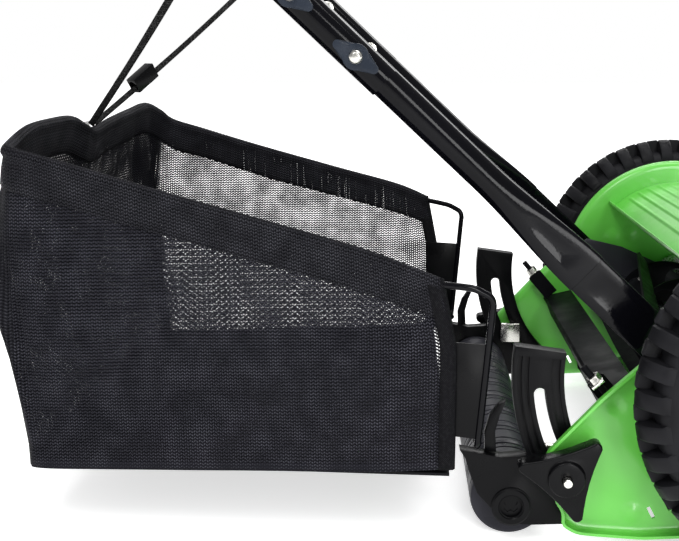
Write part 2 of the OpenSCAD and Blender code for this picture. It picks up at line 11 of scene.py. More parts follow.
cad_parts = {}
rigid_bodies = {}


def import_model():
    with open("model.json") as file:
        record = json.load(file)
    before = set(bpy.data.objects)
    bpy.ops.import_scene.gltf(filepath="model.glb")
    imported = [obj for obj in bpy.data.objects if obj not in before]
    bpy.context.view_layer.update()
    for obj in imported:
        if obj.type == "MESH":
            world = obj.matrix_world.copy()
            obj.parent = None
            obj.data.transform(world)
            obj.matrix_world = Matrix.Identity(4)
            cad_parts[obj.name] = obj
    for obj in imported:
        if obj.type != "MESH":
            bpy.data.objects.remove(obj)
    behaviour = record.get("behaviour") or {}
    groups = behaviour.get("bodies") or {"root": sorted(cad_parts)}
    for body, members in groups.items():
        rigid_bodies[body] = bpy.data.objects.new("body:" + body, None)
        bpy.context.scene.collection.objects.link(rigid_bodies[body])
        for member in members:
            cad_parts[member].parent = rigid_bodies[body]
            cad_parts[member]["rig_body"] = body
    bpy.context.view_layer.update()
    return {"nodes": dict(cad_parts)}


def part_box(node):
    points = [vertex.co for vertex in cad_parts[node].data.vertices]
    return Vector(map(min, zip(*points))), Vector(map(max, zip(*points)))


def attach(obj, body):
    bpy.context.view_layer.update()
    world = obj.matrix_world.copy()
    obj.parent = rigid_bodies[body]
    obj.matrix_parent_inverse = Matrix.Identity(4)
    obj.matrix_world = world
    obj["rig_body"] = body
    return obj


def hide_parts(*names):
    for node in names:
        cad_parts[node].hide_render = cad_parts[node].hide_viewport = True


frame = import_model()
NODES = frame["nodes"]
MM = 0.001

# ---- Places worked out from the frame ----

AXLE = (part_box("tyre_right")[0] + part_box("tyre_right")[1]) / 2
AXLE_X = AXLE.x
AXLE_HEIGHT = 125
PIVOT = (-48, 100)
HANDLE_ANGLE = math.radians(43)


def at(x, y, z):
    """A point given in millimetres from the ground under the middle of the wheels' axis."""
    return Vector((AXLE_X + x * MM, y * MM, z * MM))


def on_handle(across, y, along):
    """A point given across, beside and along the handle from its pivot."""
    x = PIVOT[0] - along * math.cos(HANDLE_ANGLE) + across * math.sin(HANDLE_ANGLE)
    z = PIVOT[1] + along * math.sin(HANDLE_ANGLE) + across * math.cos(HANDLE_ANGLE)
    return at(x, y, z)


# ---- Camera, floor and light ----

CAMERA_AT = (-281, -981, 354)
CAMERA_YAW = 2.74
CAMERA_PITCH = 11.29
CAMERA_LENS = 62.1


def add_camera():
    data = bpy.data.cameras.new("camera")
    data.lens = CAMERA_LENS
    data.sensor_width = 36
    camera = bpy.data.objects.new("camera", data)
    camera.location = at(*CAMERA_AT)
    camera.rotation_euler = (math.radians(90 - CAMERA_PITCH), 0, math.radians(CAMERA_YAW))
    bpy.context.scene.collection.objects.link(camera)
    bpy.context.scene.camera = camera


def add_area(name, place, target, size, power):
    data = bpy.data.lights.new(name, "AREA")
    data.shape = "RECTANGLE"
    data.size, data.size_y = size
    data.energy = power
    light = bpy.data.objects.new(name, data)
    light.location = place
    light.rotation_euler = (Vector(target) - Vector(place)).to_track_quat("-Z", "Y").to_euler()
    bpy.context.scene.collection.objects.link(light)


add_camera()

# ---- Finishes ----


class Finish:
    """A material under construction: its tree, its shader and short ways to add what feeds it."""

    def __init__(self, name, colour, rough, metal=0.0, coat=0.0):
        self.material = bpy.data.materials.new(name)
        self.material.use_nodes = True
        self.tree = self.material.node_tree
        self.shader = self.tree.nodes["Principled BSDF"]
        self.shader.inputs["Base Color"].default_value = (*colour, 1)
        self.shader.inputs["Roughness"].default_value = rough
        self.shader.inputs["Metallic"].default_value = metal
        self.shader.inputs["Coat Weight"].default_value = coat
        self.shader.inputs["Coat Roughness"].default_value = 0.08
        self.place = self.node("ShaderNodeTexCoord").outputs["Object"]

    def node(self, kind, **values):
        made = self.tree.nodes.new(kind)
        for key, value in values.items():
            setattr(made, key, value)
        return made

    def join(self, source, target):
        self.tree.links.new(source, target)

    def math(self, operation, a, b=0.0, c=0.0):
        made = self.node("ShaderNodeMath", operation=operation)
        for socket, value in zip(made.inputs, (a, b, c)):
            if isinstance(value, (int, float)):
                socket.default_value = value
            else:
                self.join(value, socket)
        return made.outputs[0]

    def noise(self, scale, detail=3.0, stretch=(1, 1, 1)):
        mapping = self.node("ShaderNodeMapping")
        mapping.inputs["Scale"].default_value = stretch
        self.join(self.place, mapping.inputs["Vector"])
        made = self.node("ShaderNodeTexNoise")
        made.inputs["Scale"].default_value = scale
        made.inputs["Detail"].default_value = detail
        self.join(mapping.outputs[0], made.inputs["Vector"])
        return made.outputs["Fac"]

    def spread(self, factor, low, high, start=0.35, end=0.65):
        made = self.node("ShaderNodeMapRange")
        for name, value in zip(("From Min", "From Max", "To Min", "To Max"), (start, end, low, high)):
            made.inputs[name].default_value = value
        self.join(factor, made.inputs["Value"])
        return made.outputs["Result"]

    def tones(self, factor, *stops):
        made = self.node("ShaderNodeValToRGB")
        ramp = made.color_ramp
        for i, (place, colour) in enumerate(stops):
            stop = ramp.elements[i] if i < 2 else ramp.elements.new(place)
            stop.position = place
            stop.color = (*colour, 1)
        self.join(factor, made.inputs["Fac"])
        self.join(made.outputs["Color"], self.shader.inputs["Base Color"])
        return made.outputs["Color"]

    def rough(self, factor, low, high):
        self.join(self.spread(factor, low, high), self.shader.inputs["Roughness"])

    def bump(self, height, distance, strength=1.0):
        made = self.node("ShaderNodeBump")
        made.inputs["Distance"].default_value = distance
        made.inputs["Strength"].default_value = strength
        self.join(height, made.inputs["Height"])
        old = self.shader.inputs["Normal"]
        if old.is_linked:
            self.join(old.links[0].from_socket, made.inputs["Normal"])
        self.join(made.outputs["Normal"], old)


def shade(colour, factor):
    return tuple(c * factor for c in colour)


def enamel(name, colour, rough, coat, dust=0.06, shine=0.5):
    """Stoved paint on steel: a faint orange peel, cloudy gloss and a little settled dust."""
    f = Finish(name, colour, rough, coat=coat)
    f.shader.inputs["Specular IOR Level"].default_value = shine
    cloud = f.noise(14, 4)
    f.tones(cloud, (0.3, shade(colour, 1 - dust)), (0.7, shade(colour, 1 + dust)))
    f.rough(f.noise(55, 5), rough - 0.05, rough + 0.08)
    f.bump(f.noise(420, 2), 0.00012, 0.35)
    f.bump(f.noise(2600, 2), 0.00003, 0.25)
    return f.material


def moulded(name, colour, rough, grain=1500):
    """Moulded plastic with a spark-eroded grain and rubbed patches."""
    f = Finish(name, colour, rough)
    f.shader.inputs["Specular IOR Level"].default_value = 0.1
    worn = f.noise(30, 5)
    f.tones(worn, (0.35, shade(colour, 0.85)), (0.75, shade(colour, 1.35)))
    f.rough(worn, rough - 0.06, rough + 0.1)
    f.bump(f.noise(grain, 2), 0.00008, 0.5)
    return f.material


def plated(name, colour, rough, stretch=(1, 1, 1)):
    """Bright metal with drawn or turned marks along one direction."""
    f = Finish(name, colour, rough, metal=1.0)
    marks = f.noise(700, 3, stretch)
    stain = f.noise(45, 4)
    f.tones(stain, (0.3, shade(colour, 0.8)), (0.7, colour))
    f.rough(marks, rough - 0.07, rough + 0.12)
    f.bump(marks, 0.00003, 0.5)
    return f.material


def tyre_rubber():
    f = Finish("tyre rubber", (0.022, 0.023, 0.026), 0.5)
    f.shader.inputs["Specular IOR Level"].default_value = 0.1
    bloom = f.noise(38, 5)
    f.tones(bloom, (0.3, (0.005, 0.005, 0.006)), (0.75, (0.012, 0.012, 0.014)))
    f.rough(bloom, 0.42, 0.62)
    f.bump(f.noise(900, 3), 0.00012, 0.5)
    return f.material


def grip_foam():
    f = Finish("grip foam", (0.018, 0.018, 0.018), 0.85)
    cells = f.node("ShaderNodeTexVoronoi")
    cells.inputs["Scale"].default_value = 1400
    f.join(f.place, cells.inputs["Vector"])
    f.tones(f.noise(60, 4), (0.3, (0.013, 0.013, 0.013)), (0.7, (0.026, 0.026, 0.026)))
    f.bump(cells.outputs["Distance"], 0.0003, 0.8)
    return f.material


KNIT_ACROSS = 0.0034
KNIT_DOWN = 0.0024


def knit(name, thread, highlight_and_fleck, closed_above, solid_below=0.0, depth=0.0004):
    """Knitted mesh: zigzag courses of thread with gaps between, on the panel's own UV in metres, the raised
    threads given a painted highlight.

    Where the knit stands lower than closed_above there is a gap, so a lower value is a closer knit.
    """
    f = Finish(name, thread, 0.62)
    f.shader.inputs["Specular IOR Level"].default_value = 0.05
    uv = f.node("ShaderNodeUVMap", uv_map="cloth").outputs["UV"]
    split = f.node("ShaderNodeSeparateXYZ")
    f.join(uv, split.inputs[0])
    u, v = split.outputs[0], split.outputs[1]
    zig = f.math("PINGPONG", u, KNIT_ACROSS / 2)
    zigzag = f.math("ADD", v, f.math("MULTIPLY", zig, 0.75))
    course = f.math("SINE", f.math("MULTIPLY", zigzag, 2 * math.pi / KNIT_DOWN))
    wale = f.math("SINE", f.math("MULTIPLY", u, 4 * math.pi / KNIT_ACROSS))
    height = f.math("ADD", f.math("MULTIPLY", course, 0.5), f.math("MULTIPLY", wale, 0.22))
    uneven = f.spread(f.noise(60, 3), -0.12, 0.12)
    height = f.math("ADD", height, uneven)
    alpha = f.spread(height, 0.04, 1.0, closed_above - 0.12, closed_above + 0.12)
    if solid_below:
        alpha = f.math("MAXIMUM", alpha, f.math("LESS_THAN", v, solid_below))
    f.join(alpha, f.shader.inputs["Alpha"])
    # Painted highlight: the higher the knit stands, the paler its colour, up to the highlight colour on the
    # crowns.
    f.tones(height, (0.35, thread), (0.95, highlight_and_fleck))
    f.bump(height, depth, 0.7)
    return f.material


def webbing(name, colour, highlight_and_fleck, pitch=0.0016):
    """Woven tape: fine cross ribs with a painted highlight on their crowns and a random fleck of lighter
    yarn.
    """
    f = Finish(name, colour, 0.65)
    f.shader.inputs["Specular IOR Level"].default_value = 0.05
    uv = f.node("ShaderNodeUVMap", uv_map="cloth").outputs["UV"]
    split = f.node("ShaderNodeSeparateXYZ")
    f.join(uv, split.inputs[0])
    along = f.math("SINE", f.math("MULTIPLY", split.outputs[0], 2 * math.pi / pitch))
    over = f.math("SINE", f.math("MULTIPLY", split.outputs[1], 2 * math.pi / (pitch * 0.8)))
    weave = f.math("MULTIPLY", along, over)
    # Painted highlight on the rib crowns, with random flecks of lighter yarn mixed in.
    f.tones(f.math("ADD", weave, f.spread(f.noise(500, 2), -0.5, 0.5)), (0.2, colour), (1.0, highlight_and_fleck))
    f.bump(weave, 0.0003, 0.8)
    return f.material


GREEN = (0.112, 0.500, 0.056)
green_enamel = enamel("green enamel", GREEN, 0.33, 0.25)
black_enamel = enamel("gloss black enamel", (0.002, 0.002, 0.003), 0.10, 0.04, 0.15, 0.10)
satin_black = enamel("satin black paint", (0.003, 0.003, 0.004), 0.5, 0.0, 0.2, 0.05)
pressed_black = enamel("pressed plate black", (0.022, 0.022, 0.028), 0.3, 0.05, 0.15, 0.2)
bracket_black = moulded("bracket black", (0.002, 0.002, 0.0025), 0.3)
roller_black = moulded("roller plastic", (0.022, 0.022, 0.028), 0.32)
knob_black = moulded("knob plastic", (0.003, 0.003, 0.0035), 0.2)
wheel_black = moulded("wheel plastic", (0.006, 0.006, 0.007), 0.4)
nut_blue_black = moulded("wing nut plastic", (0.016, 0.020, 0.028), 0.22)
bright_zinc = plated("bright zinc", (0.78, 0.77, 0.72), 0.2)
turned_steel = plated("turned steel", (0.58, 0.58, 0.60), 0.26, (1, 0.08, 1))
blade_steel = enamel("blade paint", (0.004, 0.004, 0.005), 0.4, 0.0, 0.3, 0.1)
ground_steel = plated("ground knife steel", (0.50, 0.50, 0.52), 0.3, (1, 0.05, 1))
rubber = tyre_rubber()
foam = grip_foam()
board_black = moulded("board plastic", (0.005, 0.005, 0.006), 0.6)
# The second colour of each knit and tape below is a painted highlight on its raised threads.
side_mesh = knit("catcher side mesh", (0.008, 0.008, 0.011), (0.080, 0.080, 0.096), -0.32, solid_below=0.006)
rear_mesh = knit("catcher rear mesh", (0.006, 0.006, 0.008), (0.045, 0.045, 0.054), -0.56, solid_below=0.006)
hem_mesh = knit("catcher hem mesh", (0.008, 0.008, 0.010), (0.070, 0.070, 0.082), -0.48)
floor_cloth = knit("catcher floor cloth", (0.006, 0.006, 0.007), (0.024, 0.024, 0.027), -1.3)
binding_tape = webbing("binding tape", (0.004, 0.004, 0.005), (0.020, 0.020, 0.022))
strap_tape = webbing("strap webbing", (0.006, 0.006, 0.006), (0.06, 0.06, 0.06), 0.0022)
white_tape = webbing("white stitching tape", (0.55, 0.55, 0.55), (0.8, 0.8, 0.8), 0.001)

# ---- Making pieces ----


def piece(name, vertices, faces, material, body=None, flat_over=None, uv=None):
    """A mesh object at the origin, smooth apart from edges sharper than flat_over degrees."""
    mesh = bpy.data.meshes.new(name)
    mesh.from_pydata([tuple(v) for v in vertices], [], faces)
    mesh.update()
    if uv is not None:
        layer = mesh.uv_layers.new(name="cloth")
        for loop in mesh.loops:
            layer.data[loop.index].uv = uv[loop.vertex_index]
    return dress(name, mesh, material, body, flat_over)


def dress(name, mesh, material, body=None, flat_over=None):
    mesh.materials.clear()
    for m in material if isinstance(material, (list, tuple)) else [material]:
        mesh.materials.append(m)
    mesh.polygons.foreach_set("use_smooth", [True] * len(mesh.polygons))
    if flat_over:
        mesh.set_sharp_from_angle(angle=math.radians(flat_over))
    obj = bpy.data.objects.new(name, mesh)
    bpy.context.scene.collection.objects.link(obj)
    if body:
        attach(obj, body)
    return obj


def thicken(obj, thickness, offset=-1.0):
    wall = obj.modifiers.new("wall", "SOLIDIFY")
    wall.thickness = thickness
    wall.offset = offset


def settle(obj):
    """Turns an object's modifiers into plain mesh."""
    depsgraph = bpy.context.evaluated_depsgraph_get()
    done = bpy.data.meshes.new_from_object(obj.evaluated_get(depsgraph), depsgraph=depsgraph)
    obj.modifiers.clear()
    obj.data = done


def fix_normals(mesh):
    bm = bmesh.new()
    bm.from_mesh(mesh)
    bmesh.ops.remove_doubles(bm, verts=bm.verts, dist=1e-6)
    bmesh.ops.recalc_face_normals(bm, faces=bm.faces)
    bm.to_mesh(mesh)
    bm.free()


def grid_faces(rows, columns, closed=False, start=0):
    faces = []
    for i in range(rows - 1):
        for j in range(columns if closed else columns - 1):
            k = (j + 1) % columns
            faces.append((start + i * columns + j, start + i * columns + k,
                          start + (i + 1) * columns + k, start + (i + 1) * columns + j))
    return faces


def spun_faces(rows, count):
    """Faces between count copies of a profile of so many rows, spun about a line."""
    return [(k * rows + j, k * rows + j + 1, m * rows + j + 1, m * rows + j)
            for k, m in zip(range(count), [*range(1, count), 0]) for j in range(rows - 1)]


def softened(node, material, width, segments=2, flat_over=38):
    """A copy of a CAD node with its edges broken, as pressing, casting and moulding leave them."""
    bm = bmesh.new()
    bm.from_mesh(NODES[node].data)
    bmesh.ops.remove_doubles(bm, verts=bm.verts, dist=2e-5)
    bmesh.ops.dissolve_limit(bm, angle_limit=0.015, verts=bm.verts, edges=bm.edges)
    mesh = bpy.data.meshes.new(node + "_finish")
    bm.to_mesh(mesh)
    bm.free()
    obj = dress(node + "_finish", mesh, material, None, None)
    if width:
        bevel = obj.modifiers.new("broken edges", "BEVEL")
        bevel.width = width * MM
        bevel.segments = segments
        bevel.limit_method = "ANGLE"
        bevel.angle_limit = math.radians(30)
        bevel.use_clamp_overlap = True
        bevel.harden_normals = False
        settle(obj)
    obj.data.polygons.foreach_set("use_smooth", [True] * len(obj.data.polygons))
    obj.data.set_sharp_from_angle(angle=math.radians(flat_over))
    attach(obj, NODES[node]["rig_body"])
    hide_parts(node)
    return obj


def repaint(node, material):
    NODES[node].data.materials.clear()
    NODES[node].data.materials.append(material)


# ---- Pressed side plates ----

WEB_IN = 198
RIM_OUT = 208
SHIELD_R = 107
ROUNDING = 6.0
TAIL = [(-105, 144), (-140, 111), (-176, 71), (-168, 36), (-161.5, 27), (-164.5, 20), (-153, 13), (-142, 12),
        (-107, 10), (-40, 14), (-6, 18)]
PLATE_HOLES = [((0, 125), 6.2), ((-14, 87.5), 16.3), ((-163.2, 59.8), 3.3), ((-150.8, 41.1), 3.3),
               ((-48, 100), 4.3), ((78, 92), 4.3), ((-34, 120), 3.3), ((36, 84), 3.3), ((-76, 38), 3.3)]
# Centre, half length, half width and tilt of the slits in the tail
PLATE_SLOTS = [((-100, 27), 4.5, 1.2, 118), ((-89, 33), 4.5, 1.2, 118)]
# Centre, radius and height of the pressed dimples
PLATE_DIMPLES = [((-146, 100), 6, 1.5), ((-127, 104), 6.5, -1.2), ((-113, 27), 7, 1.8), ((-62, 155), 9, -1.5),
                 ((-45, 158), 7, -1.2), ((-120, 60), 26, 1.6), ((-60, 60), 30, 1.2)]


def shield_outline():
    """The plate's outline: the round shield joined to the tail behind it."""
    ring = []
    a = -93.0
    while a < 170:
        turn = math.radians(a)
        ring.append((SHIELD_R * math.cos(turn), AXLE_HEIGHT + SHIELD_R * math.sin(turn)))
        a += 2.0
    return ring + TAIL


def resample(loop, step):
    out = []
    for (x0, z0), (x1, z1) in zip(loop, loop[1:] + loop[:1]):
        count = max(1, int(math.hypot(x1 - x0, z1 - z0) / step))
        out += [(x0 + (x1 - x0) * k / count, z0 + (z1 - z0) * k / count) for k in range(count)]
    return out


def soften_loop(loop, passes):
    for _ in range(passes):
        loop = [((a[0] + 2 * b[0] + c[0]) / 4, (a[1] + 2 * b[1] + c[1]) / 4)
                for a, b, c in zip(loop[-1:] + loop[:-1], loop, loop[1:] + loop[:1])]
    return loop


def inside(points, loop):
    x, z = points[:, 0], points[:, 1]
    hit = np.zeros(len(points), bool)
    for (x0, z0), (x1, z1) in zip(loop, loop[1:] + loop[:1]):
        cross = (z0 > z) != (z1 > z)
        with np.errstate(divide="ignore", invalid="ignore"):
            hit ^= cross & (x < (x1 - x0) * (z - z0) / (z1 - z0) + x0)
    return hit


def distance_to(points, loop):
    best = np.full(len(points), 1e9)
    for (x0, z0), (x1, z1) in zip(loop, loop[1:] + loop[:1]):
        d = np.array([x1 - x0, z1 - z0])
        length = max(1e-9, d @ d)
        t = np.clip(((points[:, 0] - x0) * d[0] + (points[:, 1] - z0) * d[1]) / length, 0, 1)
        best = np.minimum(best, np.hypot(points[:, 0] - x0 - t * d[0], points[:, 1] - z0 - t * d[1]))
    return best


def pressed_plate(outline, holes, height, step):
    """Triangles that fill an outline and miss its holes, each corner's height from a pressing rule."""
    grids = []
    lows, highs = np.min(outline, 0), np.max(outline, 0)
    for i, x in enumerate(np.arange(lows[0], highs[0], step)):
        for z in np.arange(lows[1] + (i % 2) * step / 2, highs[1], step):
            grids.append((x, z))
    grids = np.array(grids)
    keep = inside(grids, outline) & (distance_to(grids, outline) > 7)
    for hole in holes:
        keep &= ~inside(grids, hole) & (distance_to(grids, hole) > step * 0.45)
    points = [tuple(p) for p in grids[keep]]
    rings = []
    for depth in (0.5, 1.4, 2.8, 4.6, 6.4):
        for a, b, c in zip(outline[-1:] + outline[:-1], outline, outline[1:] + outline[:1]):
            n = np.array([-(c[1] - a[1]), c[0] - a[0]])
            n /= max(1e-9, np.hypot(*n))
            rings.append((b[0] + n[0] * depth, b[1] + n[1] * depth, depth))
    rings = np.array(rings)
    ok = inside(rings[:, :2], outline) & (distance_to(rings[:, :2], outline) > rings[:, 2] * 0.93)
    for hole in holes:
        ok &= ~inside(rings[:, :2], hole) & (distance_to(rings[:, :2], hole) > 0.8)
    points += [tuple(p[:2]) for p in rings[ok]]
    edges = []
    for loop in [outline] + holes:
        first = len(points)
        points += loop
        edges += [(first + k, first + (k + 1) % len(loop)) for k in range(len(loop))]
    out = delaunay_2d_cdt([Vector(p) for p in points], edges, [], 0, 1e-5)
    flat = np.array([tuple(v) for v in out[0]])
    faces = [f for f in out[2] if len(f) == 3]
    centres = np.array([flat[list(f)].mean(0) for f in faces])
    good = inside(centres, outline)
    for hole in holes:
        good &= ~inside(centres, hole)
    faces = [tuple(f) for f, g in zip(faces, good) if g]
    tidy = []
    for a, b, c in faces:
        ab, ac = flat[b] - flat[a], flat[c] - flat[a]
        turn = ab[0] * ac[1] - ab[1] * ac[0]
        tidy.append((a, b, c) if turn > 0 else (a, c, b))
    return flat, height(flat, distance_to(flat, outline)), tidy


def circle_loop(centre, r, count=28):
    turns = [2 * math.pi * k / count for k in range(count)]
    return [(centre[0] + r * math.cos(a), centre[1] + r * math.sin(a)) for a in turns]


def slot_loop(centre, half, width, tilt):
    a = math.radians(tilt)
    corners = [(-half, -width), (half, -width), (half, width), (-half, width)]
    loop = [(centre[0] + x * math.cos(a) - z * math.sin(a), centre[1] + x * math.sin(a) + z * math.cos(a))
            for x, z in corners]
    return resample(loop, 1.5)


def side_plate_height(points, depth):
    """How far a plate stands out from its web: a rounded turn at the rim, and the dimples."""
    d = np.clip(depth, 0, ROUNDING)
    out = ROUNDING - np.sqrt(np.maximum(0, ROUNDING ** 2 - (ROUNDING - d) ** 2))
    for (x, z), r, rise in PLATE_DIMPLES:
        q = np.clip(1 - ((points[:, 0] - x) ** 2 + (points[:, 1] - z) ** 2) / (r * r), 0, 1)
        out += rise * q * q * (3 - 2 * q) * np.clip((depth - 4) / 6, 0, 1)
    return out


def add_side_plates():
    outline = soften_loop(resample(shield_outline(), 2.6), 3)
    area = sum(a[0] * b[1] - b[0] * a[1] for a, b in zip(outline, outline[1:] + outline[:1]))
    if area < 0:
        outline = outline[::-1]
    holes = [circle_loop(c, r) for c, r in PLATE_HOLES] + [slot_loop(*s) for s in PLATE_SLOTS]
    flat, height, faces = pressed_plate(outline, holes, side_plate_height, 3.4)
    # The rim's straight part outside the rounding
    edge = {}
    for a, b, c in faces:
        for u, v in ((a, b), (b, c), (c, a)):
            edge[(u, v)] = edge.get((u, v), 0) + 1
    border = [(u, v) for (u, v) in edge if (v, u) not in edge]
    rim = {}
    on_rim = distance_to(flat, outline) < 0.05
    vertices = [(x, z, h) for (x, z), h in zip(flat, height)]
    for u, v in border:
        if on_rim[u] and on_rim[v]:
            for k in (u, v):
                if k not in rim:
                    rim[k] = len(vertices)
                    vertices.append((vertices[k][0], vertices[k][1], RIM_OUT - WEB_IN))
            faces.append((v, u, rim[u], rim[v]))
    for side, name in ((-1, "right"), (1, "left")):
        places = [at(x, side * (WEB_IN + h), z) for x, z, h in vertices]
        facing = [f if side > 0 else tuple(reversed(f)) for f in faces]
        plate = piece("side_plate_" + name + "_pressing", places, facing, green_enamel)
        thicken(plate, 2 * MM)
        settle(plate)
        plate.data.polygons.foreach_set("use_smooth", [True] * len(plate.data.polygons))
        plate.data.set_sharp_from_angle(angle=math.radians(50))
        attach(plate, "deck")
        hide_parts("side_plate_" + name)


add_side_plates()

# ---- Top cover ----

COVER_R = 87
COVER_FROM, COVER_TO = 22, 134


def add_top_cover():
    """A rolled sheet with ribs along its width and a lip turned up at its rear edge."""
    half = 197.8
    shares = (0.25, 0.5, 0.7, 0.9, 0.95, 0.985, 1)
    across = [half * t for t in (*(-t for t in reversed(shares)), 0, *shares)]
    profile = []
    steps = 224
    for k in range(steps + 1):
        a = COVER_FROM + (COVER_TO - COVER_FROM) * k / steps
        profile.append((a, 1.0 if 30 < a < 128 else 0.0))
    vertices = []
    for a, ribbed in profile:
        wave = max(0.0, math.sin(math.radians((a - 30) * 360 / 6.6))) ** 2
        for y in across:
            inset = min(1.0, max(0.0, (half - 12 - abs(y)) / 8))
            r = COVER_R + 1.3 * wave * ribbed * inset
            vertices.append(at(r * math.cos(math.radians(a)), y, AXLE_HEIGHT + r * math.sin(math.radians(a))))
    # The lip
    for grow, degrees in ((1.6, 134.6), (3.8, 135.0), (5.2, 134.6), (5.8, 134.0)):
        r, turn = COVER_R + grow, math.radians(degrees)
        for y in across:
            vertices.append(at(r * math.cos(turn), y, AXLE_HEIGHT + r * math.sin(turn)))
    faces = grid_faces(steps + 5, len(across))
    cover = piece("top_cover_sheet", vertices, faces, green_enamel)
    fix_normals(cover.data)
    if cover.data.polygons[0].normal.dot(cover.data.polygons[0].center - at(0, 0, AXLE_HEIGHT)) < 0:
        cover.data.flip_normals()
    thicken(cover, 1.4 * MM)
    settle(cover)
    cover.data.polygons.foreach_set("use_smooth", [True] * len(cover.data.polygons))
    cover.data.set_sharp_from_angle(angle=math.radians(40))
    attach(cover, "deck")
    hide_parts("top_cover")


add_top_cover()

# ---- Tyres: a carcass with two staggered rows of lugs ----

TYRE_R, TYRE_IN, TYRE_W = 125, 222, 44
SHOULDER_DROP = 14.5
LUG_COUNT = 35
LUG_ROWS = (11.9, 32.1)
CARCASS_R = 114.0
LUG_ROOT = -8.0


def lug_mesh(row):
    """One tread block along +X out from the carcass, its top falling from the crown to the shoulder."""
    bm = bmesh.new()
    middle = LUG_ROWS[row]
    stations = [-11, -10, -6, -2, 2, 6, 10, 11]
    rings = []
    for w in stations:
        crown = TYRE_R - SHOULDER_DROP * (abs(middle + w - TYRE_W / 2) / 21.5) ** 2.2
        trim = 1.2 if abs(w) > 10.5 else 0.0
        top, half = crown - CARCASS_R - trim, 6.4 - trim * 0.6
        waist = (top + LUG_ROOT) / 2
        section = [(LUG_ROOT, -half), (waist, -half + 0.3), (top - 1.1, -half + 0.9), (top, -half + 2.2),
                   (top, half - 2.2), (top - 1.1, half - 0.9), (waist, half - 0.3), (LUG_ROOT, half)]
        rings.append([bm.verts.new((x * MM, w * MM, z * MM)) for x, z in section])
    for low, high in zip(rings, rings[1:]):
        for k in range(8):
            bm.faces.new((low[k], low[(k + 1) % 8], high[(k + 1) % 8], high[k]))
    bm.faces.new(rings[-1])
    bm.faces.new(list(reversed(rings[0])))
    bmesh.ops.recalc_face_normals(bm, faces=bm.faces)
    mesh = bpy.data.meshes.new("tread lug")
    bm.to_mesh(mesh)
    bm.free()
    return mesh


def tread_tree(lugs):
    """Geometry Nodes: places a lug at equal angles round the axle in two rows, the second half a pitch on."""
    tree = bpy.data.node_groups.new("tread", "GeometryNodeTree")
    for name, kind in (("Lugs", "NodeSocketInt"), ("Radius", "NodeSocketFloat"),
                       ("First row", "NodeSocketFloat"), ("Second row", "NodeSocketFloat")):
        tree.interface.new_socket(name, in_out="INPUT", socket_type=kind)
    tree.interface.new_socket("Geometry", in_out="OUTPUT", socket_type="NodeSocketGeometry")
    new, link = tree.nodes.new, tree.links.new
    given, result, join = new("NodeGroupInput"), new("NodeGroupOutput"), new("GeometryNodeJoinGeometry")

    def calc(operation, *values):
        made = new("ShaderNodeMath")
        made.operation = operation
        for socket, value in zip(made.inputs, values):
            if isinstance(value, (int, float)):
                socket.default_value = value
            else:
                link(value, socket)
        return made.outputs[0]

    for row in (0, 1):
        line = new("GeometryNodeMeshLine")
        line.mode = "OFFSET"
        line.inputs["Offset"].default_value = (0, 0, 0)
        link(given.outputs["Lugs"], line.inputs["Count"])
        step = calc("ADD", new("GeometryNodeInputIndex").outputs[0], 0.5 * row)
        angle = calc("MULTIPLY", calc("DIVIDE", step, given.outputs["Lugs"]), 2 * math.pi)
        turn, place = new("ShaderNodeCombineXYZ"), new("ShaderNodeCombineXYZ")
        link(calc("MULTIPLY", angle, -1), turn.inputs["Y"])
        for operation, socket in (("COSINE", "X"), ("SINE", "Z")):
            link(calc("MULTIPLY", calc(operation, angle), given.outputs["Radius"]), place.inputs[socket])
        link(given.outputs["Second row" if row else "First row"], place.inputs["Y"])
        moved = new("GeometryNodeSetPosition")
        link(line.outputs[0], moved.inputs["Geometry"])
        link(place.outputs[0], moved.inputs["Position"])
        block = new("GeometryNodeObjectInfo")
        block.inputs["Object"].default_value = lugs[row]
        put = new("GeometryNodeInstanceOnPoints")
        link(moved.outputs[0], put.inputs["Points"])
        link(block.outputs["Geometry"], put.inputs["Instance"])
        link(turn.outputs[0], put.inputs["Rotation"])
        link(put.outputs[0], join.inputs[0])
    real = new("GeometryNodeRealizeInstances")
    coat = new("GeometryNodeSetMaterial")
    coat.inputs["Material"].default_value = rubber
    link(join.outputs[0], real.inputs[0])
    link(real.outputs[0], coat.inputs["Geometry"])
    link(coat.outputs[0], result.inputs[0])
    return tree


def set_inputs(modifier, values):
    for item in modifier.node_group.interface.items_tree:
        if item.item_type == "SOCKET" and item.in_out == "INPUT" and item.name in values:
            modifier[item.identifier] = values[item.name]


def grown(name, tree, values):
    """Runs a Geometry Nodes tree and gives back its plain mesh."""
    obj = bpy.data.objects.new(name, bpy.data.meshes.new(name))
    bpy.context.scene.collection.objects.link(obj)
    maker = obj.modifiers.new("maker", "NODES")
    maker.node_group = tree
    set_inputs(maker, values)
    settle(obj)
    return obj


CARCASS = [(96.05, 0.4), (100, 0.0), (104, 0.2), (107.5, 1.6), (110.6, 4.8), (112.4, 10), (113.4, 22),
           (112.4, 34), (110.6, 39.2), (107.5, 42.4), (104, 43.8), (100, 44), (96.05, 43.6)]


